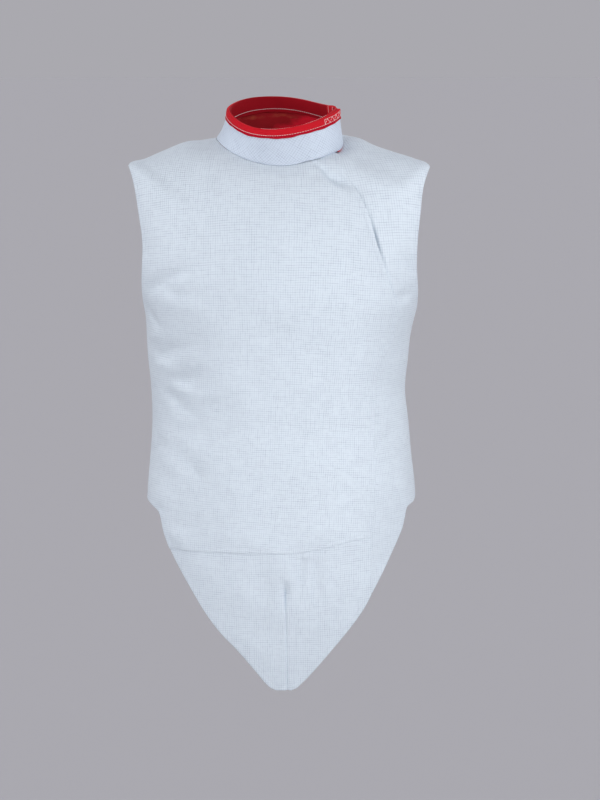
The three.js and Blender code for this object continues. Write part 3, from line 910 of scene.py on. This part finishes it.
def sew_dart(points):
    """Draws the cloth in along the dart, which gapes a little at its top."""
    z = points[..., 2]
    line = points[:, points.shape[1] // 2]
    away = nearness(points, [line[line[:, 2] < dart_top]])
    gaping = 0.9 + 1.1 * (1 - ease(-z, 562, 580))
    deep = ease(-z, 539, 552) * (gaping * np.exp(-((away / 1.1) ** 2)) + 0.3 * np.exp(-((away / 5) ** 2)))
    return points - grid_normals(points) * deep[..., None]


crotch_points = sew_dart(crotch_points)
crotch_panel = cloth_piece("crotch_panel_cloth", crotch_points)
lay_flat(crotch_panel)
crotch_panel.data.materials.append(lame)
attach(crotch_panel, "root")
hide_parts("crotch_panel")


# Collar.
# A stand collar of the same cloth cut on the bias, sewn to the neck. It starts under the flap, goes round the
# back, and ends at the left side over its own start.
collar_rings = [
    # the same columns as the body's rings, from the neck seam to the rim
    (82, 8, 73, 12, 70, -24, 66, 12, 0, 2.0),
    (75, 19, 71.5, 22, 69, -10, 65, 27, -3, 2.0),
    (70, 32, 70, 33, 67.5, 5, 64, 43, -8, 2.0),
    (67.5, 45, 69, 45, 66, 20.5, 63, 59, -12, 2.05),
]
collar_start, collar_end = 42, 438
collar_span = collar_end - collar_start
clasp_turn = 106
collar_lap_lift, collar_lap_rise = 5.9, 1.2
under_end = [(62, 0), (70, 4.3), (77, 4.3), (88, 0)]
collar_overhang = [
    *under_end, (383, 0), (397, 2.9), (406, 4.5), (417, 4), (420, 2.2), (435, 2.1), (438, 3),
]
lining_peep = [*under_end, (372, 0), (384, -2), (414, -2), (420, 0.5), (428, 4.7), (438, 4.7)]
rim_swells = [
    # turn, rise, spread: over the clasp at the lapped start, a sag beside it, the sewn end's corner
    (clasp_turn, 3.2, 6), (134, -2.2, 20), (215, 0.8, 18), (438, 2.2, 6),
]
collar_girth, usual_height = 484, 46
collar_cloth, lining_cloth, tape = 1.2, 0.9, 0.8


def collar_form(turn, below_rim):
    """The collar's surface, from 0 at the rim to 1 at the neck seam, and straight down from there."""
    share = 1 - np.minimum(below_rim, 1)
    point = ring_point(smooth_rows(collar_rings, share * (len(collar_rings) - 1)), turn)
    seam_drop = neck_dip(turn) * np.clip(below_rim, 0, 1)
    point[..., 2] -= seam_drop + usual_height * np.maximum(below_rim - 1, 0)
    return point


def collar_height(turn):
    return np.linalg.norm(collar_form(turn, 0 * turn) - collar_form(turn, 0 * turn + 1), axis=-1)


def collar_points(turn, drop, out):
    """Places a drop in millimetres below the rim, which rises and sags a little, and out from the surface."""
    swell = sum(rise * np.exp(-(((turn - at) / spread) ** 2)) for at, rise, spread in rim_swells)
    below_rim = (drop - swell * np.clip(1 - drop / 24, 0, 1.1)) / collar_height(turn)
    point = collar_form(turn, below_rim)
    lifted = out + collar_lap_lift * collar_lap(turn)
    return point + normal_of(collar_form, turn, below_rim) * lifted[..., None]


def collar_wall(name, out, top, thickness, below):
    turns = collar_start + collar_span * stations(collar_girth, 2.2)[None]
    bottom = collar_height(turns) - 0.15 - collar_lap_rise * collar_lap(turns)
    bottom = bottom + np.interp(turns, *np.transpose(below))
    shares = stations(50, 1.8)[:, None]
    drops = top + (bottom - top) * shares
    points = collar_points(turns + 0 * drops, drops, out + 0 * drops)
    points = finish_edges(points, [], [(-1, slice(None))])
    piece = cloth_piece(name, points, thickness)
    piece.data.uv_layers.new(name="cloth")
    around = (turns + 0 * drops) / collar_span * collar_girth
    flat = np.stack((around, -drops), -1).reshape(-1, 2) * millimetre
    write_map(piece.data, flat[loop_corners(piece.data)])
    return piece, points


collar, collar_surface_points = collar_wall("collar_cloth", 0, 1.3, collar_cloth, collar_overhang)
collar_lame = cloth_material(
    "collar_lame", color=(0.66, 0.745, 0.85, 1), shadow=(0.36, 0.43, 0.55, 1), metallic=0.3, rough=0.55,
    rib=0.0027, threads=4, rib_depth=0.6, bump=0.0002, lean=45, sheen=0.1, tone=0.12)
collar.data.materials.append(collar_lame)
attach(collar, "root")
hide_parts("collar")


# Collar lining.
# Plain brown-red cotton inside the collar, caught in the neck seam below and under the binding above. It
# peeps out below the collar's loose end, and its colour changes in patches, brighter red towards the wearer's
# left and tan towards the right.
lining, _ = collar_wall("collar_lining_cloth", -1.8, 1.3, lining_cloth, lining_peep)


def cotton(name, color, shadow, rib, bump, tone, rough=0.85, gloss=0.1):
    return cloth_material(name, color, shadow, 0, rough, rib, 2, 0.35, bump, tone=tone, gloss=gloss)


lining_cotton = cotton(
    "lining_cotton", (0.36, 0.012, 0.018, 1), (0.14, 0.003, 0.006, 1), rib=0.0011, bump=0.00012, tone=0.9)


def add_patches(material, color, size, low, high, lean):
    """Patches of another colour over a cloth's own, more of them towards the wearer's left."""
    tree = material.node_tree
    into = tree.nodes["Principled BSDF"].inputs["Base Color"]
    place = add_node(tree, "ShaderNodeTexCoord").outputs["Object"]
    stretched = add_node(tree, "ShaderNodeMapping", {"Vector": place, "Scale": (1, 1, 2.6)}).outputs[0]
    cloud = noise(tree, stretched, size, 4.0).outputs["Fac"]
    sideways = add_node(tree, "ShaderNodeSeparateXYZ", {0: place}).outputs["X"]
    leaning = calculate(tree, "MULTIPLY_ADD", sideways, lean, cloud)
    share = map_range(tree, leaning, low, high, 0.0, 0.8)
    tree.links.new(blend(tree, share, into.links[0].from_socket, color), into)


add_patches(lining_cotton, (0.85, 0.012, 0.035, 1), 17.0, 0.5, 0.62, 3.5)
add_patches(lining_cotton, (0.45, 0.1, 0.045, 1), 31.0, 0.55, 0.76, -1.0)
lining.data.materials.append(lining_cotton)
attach(lining, "root")
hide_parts("collar_lining")


# Collar binding.
# Red cotton tape folded over the collar's rim, with a short leg outside and a longer one inside, sewn through
# both with white thread and boxed at the collar's open end. Its inside is a darker copy of the same cotton,
# painted shade.
outer_leg, inner_leg = 12, 20
binding_out, binding_in = 1.15, -4.1
edge_width = 0.0024


def binding_section():
    """The folded tape's section, as distance out and drop below the rim: its outer face, then its back."""
    out, deep = binding_out, binding_in
    face = [
        (out - 0.1, outer_leg), (out, outer_leg - 0.5), (out, 9.8), (out - 0.22, 9.1), (out - 0.22, 8.7),
        (out, 8.0), (out + 0.08, 5), (out, 2.4), (out - 0.15, 1.2), (out - 0.6, 0.35), (out - 1.4, 0),
        (-0.9, -0.12), (-2.1, -0.1),
        (deep + 1.4, 0), (deep + 0.6, 0.35), (deep + 0.1, 1.2), (deep, 2.4), (deep - 0.05, 8),
        (deep, 14.6), (deep + 0.2, 15.4), (deep + 0.2, 15.9), (deep, 16.8), (deep, inner_leg - 0.5),
        (deep + 0.1, inner_leg),
    ]
    back = [
        (deep + tape - 0.1, inner_leg), (deep + tape, inner_leg - 0.4), (deep + tape, 10),
        (deep + tape, 1.5), (deep + tape + 0.5, 0.9), (out - tape - 0.5, 0.9),
        (out - tape, 1.5), (out - tape, outer_leg - 0.4), (out - tape + 0.1, outer_leg),
    ]
    return np.array([*face, *back, face[0]])


def binding_tape():
    section = binding_section()
    turns = (collar_start + collar_span * np.linspace(0, 1, 260))[None]
    wave = 0.35 * np.sin(np.radians(turns) * 9) + 0.2 * np.sin(np.radians(turns) * 23 + 1)
    drops = section[:, 1:] + wave * np.clip(section[:, 1:] / 12, 0, 1) ** 3
    tape_mesh = grid_of(collar_points(turns + 0 * drops, drops, section[:, :1] + 0 * turns))
    flat = tape_mesh.loops.layers.uv.new("cloth")
    along = (turns / collar_span * collar_girth + 0 * drops).ravel() * millimetre
    clasp = (abs(turns - clasp_turn) < 9) + 0 * drops
    steps = np.linalg.norm(np.diff(section, axis=0, prepend=section[:1]), axis=1)
    across_tape = (np.cumsum(steps)[:, None] + 0 * drops).ravel() * millimetre
    inside_from = (outer_leg + 2.5) * millimetre
    tape_mesh.verts.index_update()
    for face in tape_mesh.faces:
        face.smooth = True
        for loop in face.loops:
            loop[flat].uv = (along[loop.vert.index], across_tape[loop.vert.index])
        first = min(across_tape[vert.index] for vert in face.verts)
        # The inside of the fold, away from the clasp, takes the darker copy of the tape's cotton: painted
        # shade.
        inside = first > inside_from and not clasp.flat[face.verts[0].index]
        face.material_index = 1 if inside else 2 * (first < edge_width)
    bmesh.ops.remove_doubles(tape_mesh, verts=tape_mesh.verts, dist=1e-6)
    ends = [edge for edge in tape_mesh.edges if edge.is_boundary]
    bmesh.ops.holes_fill(tape_mesh, edges=ends, sides=0)
    bmesh.ops.recalc_face_normals(tape_mesh, faces=tape_mesh.faces)
    return object_from(tape_mesh, "collar_binding_tape")


binding = binding_tape()
tape_cottons = [
    # name, colour, colour deep in the weave, changes of tone, roughness, gloss
    ("binding_cotton", (0.66, 0.008, 0.02, 1), (0.3, 0.002, 0.006, 1), 0.5, 0.8, 0.15),
    ("binding_inside_painted_shade", (0.36, 0.005, 0.013, 1), (0.12, 0.001, 0.003, 1), 0.6, 0.85, 0.1),
    # a darker copy of the tape's cotton for its inside, painted shade where the collar's inside lies in
    # shadow
    ("binding_edge", (0.5, 0.004, 0.02, 1), (0.2, 0.001, 0.006, 1), 0.5, 0.85, 0.1),
]
for name, color, shadow, tone, rough, gloss in tape_cottons:
    binding.data.materials.append(cotton(name, color, shadow, 0.0009, 0.00014, tone, rough, gloss))
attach(binding, "root")
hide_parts("collar_binding")


# Sewing.
# Machine stitches in pale thread: along the hems, armholes and flap in the cloth's own colour, and in white
# along the collar's binding, with a box at its end.
def thread_material(name, color):
    material, tree, surface = new_material(name)
    place = add_node(tree, "ShaderNodeTexCoord").outputs["Object"]
    twist = noise(tree, place, 900.0, 2.0).outputs["Fac"]
    tone = map_range(tree, twist, 0.0, 1.0, 0.72, 1.12)
    tree.links.new(vector_math(tree, "SCALE", {0: color, "Scale": tone}), surface.inputs["Base Color"])
    surface.inputs["Roughness"].default_value = 0.6
    relief = add_node(tree, "ShaderNodeBump", {"Height": twist, "Distance": 0.0001})
    tree.links.new(relief.outputs["Normal"], surface.inputs["Normal"])
    return material


def evenly_along(line, step):
    """Places a step apart along a line of points."""
    lengths = np.concatenate(([0], np.cumsum(np.linalg.norm(np.diff(line, axis=0), axis=1))))
    count = max(2, round(lengths[-1] / step) + 1)
    wanted = np.linspace(0, lengths[-1], count)
    return np.stack([np.interp(wanted, lengths, line[:, axis]) for axis in range(3)], axis=-1)


def faces_of(piece):
    corners = [vert.co for vert in piece.data.vertices]
    return BVHTree.FromPolygons(corners, [face.vertices for face in piece.data.polygons])


def row_inside(piece, edge, inset, side, step=3.2):
    """The stitches' places and normals along a piece's edge, a distance in from it."""
    tree = faces_of(piece)
    line = evenly_along(edge, 2.0)
    moved = []
    for place, along in zip(line * millimetre, np.gradient(line, axis=0)):
        _, normal, _, _ = tree.find_nearest(place)
        inward = normal.cross(Vector(along)).normalized() * side
        inset_place = Vector(place) + inward * inset * millimetre
        moved.append(tree.find_nearest(inset_place)[0] * 1000)
    row = evenly_along(np.array(moved), step)
    return [(Vector(place), tree.find_nearest(place * millimetre)[1]) for place in row]


def stitch_rows(name, rows, thick, length, material):
    """One piece of thread: a small rounded stitch between each two places of every row."""
    one = bmesh.new()
    bmesh.ops.create_uvsphere(one, u_segments=6, v_segments=4, radius=1)
    for face in one.faces:
        face.smooth = True
    model = bpy.data.meshes.new("stitch")
    one.to_mesh(model)
    one.free()
    thread = bmesh.new()
    for row in rows:
        for (start, normal), (end, _) in zip(row[:-1], row[1:]):
            along = (end - start).normalized()
            aside = along.cross(normal).normalized()
            up = aside.cross(along)
            sides = aside * thick / 2, up * thick * 0.42, along * length / 2
            placed = Matrix(sides).transposed().to_4x4()
            placed.translation = (start + end) / 2 + up * thick * 0.12
            stitch = model.copy()
            stitch.transform(Matrix.Scale(millimetre, 4) @ placed)
            thread.from_mesh(stitch)
            bpy.data.meshes.remove(stitch)
    bpy.data.meshes.remove(model)
    piece = object_from(thread, name)
    piece.data.materials.append(material)
    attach(piece, "root")
    return piece


silver_thread = thread_material("silver_thread", (0.72, 0.79, 0.88))
white_thread = thread_material("white_thread", (0.85, 0.74, 0.76))
sewn_hems = [
    # piece, its places, its hems, on which side of each the cloth lies
    (front_panel, front_points, front_hems, (1, 1, 1, 1, -1)),
    (left_front, left_points, left_hems, (-1, 1, -1)),
    (back_panel, back_points, back_hems, (1, -1, 1)),
    (crotch_panel, crotch_points, crotch_hems[:2], (1, -1)),
]
hem_rows = []
for piece, points, hems, sides in sewn_hems:
    for hem, side in zip(hems, sides):
        hem_rows.append(row_inside(piece, points[hem], hem_inset, side))
hem_stitches = stitch_rows("hem_stitches", hem_rows, 0.45, 2.6, silver_thread)

collar_seam_row = [row_inside(collar, collar_surface_points[-1], 2.6, 1, 2.8)]
collar_stitches = stitch_rows("collar_stitches", collar_seam_row, 0.45, 2.3, silver_thread)


def binding_row(start, end, first_drop, last_drop, out, step=2.9):
    """A row over the tape, from one turn and drop to another, on its outer or its inner face."""
    length = math.hypot((end - start) / collar_span * collar_girth, last_drop - first_drop)
    shares = np.linspace(0, 1, round(length / step) + 1)
    turns, drops = start + (end - start) * shares, first_drop + (last_drop - first_drop) * shares
    places = collar_points(turns, drops, out + 0 * drops)
    side = 1 if out > -1 else -1
    facing = normal_of(collar_form, turns, drops / collar_height(turns)) * side
    return [(Vector(place), Vector(normal)) for place, normal in zip(places, facing)]


outer_face, inner_face = binding_out - 0.12, binding_in + 0.12
box_start, box_end = collar_end - 27, collar_end - 1.3
box_drop, row_drop, inner_row_drop = 3.2, 8.9, 15.65
binding_rows = [
    binding_row(collar_start + 1, box_end, row_drop, row_drop, outer_face),
    binding_row(collar_start + 1, collar_end - 1, inner_row_drop, inner_row_drop, inner_face),
    binding_row(box_start, box_end, box_drop, box_drop, outer_face),
    binding_row(box_start, box_start, box_drop, row_drop, outer_face, 1.9),
    binding_row(box_end, box_end, box_drop, row_drop, outer_face, 1.9),
    binding_row(-12, 60, 0, 0, -0.9),
    binding_row(clasp_turn - 6, clasp_turn - 6, 1, 9, inner_face, 1.9),
    binding_row(clasp_turn + 6, clasp_turn + 6, 1, 9, inner_face, 1.9),
]
zigzag = np.linspace(box_start, box_end, 9)
for number, (before, after) in enumerate(zip(zigzag[:-1], zigzag[1:])):
    drops = (box_drop, row_drop) if number % 2 else (row_drop, box_drop)
    binding_rows.append(binding_row(before, after, *drops, outer_face, 2.1))
binding_stitches = stitch_rows("binding_stitches", binding_rows, 0.75, 2.6, white_thread)
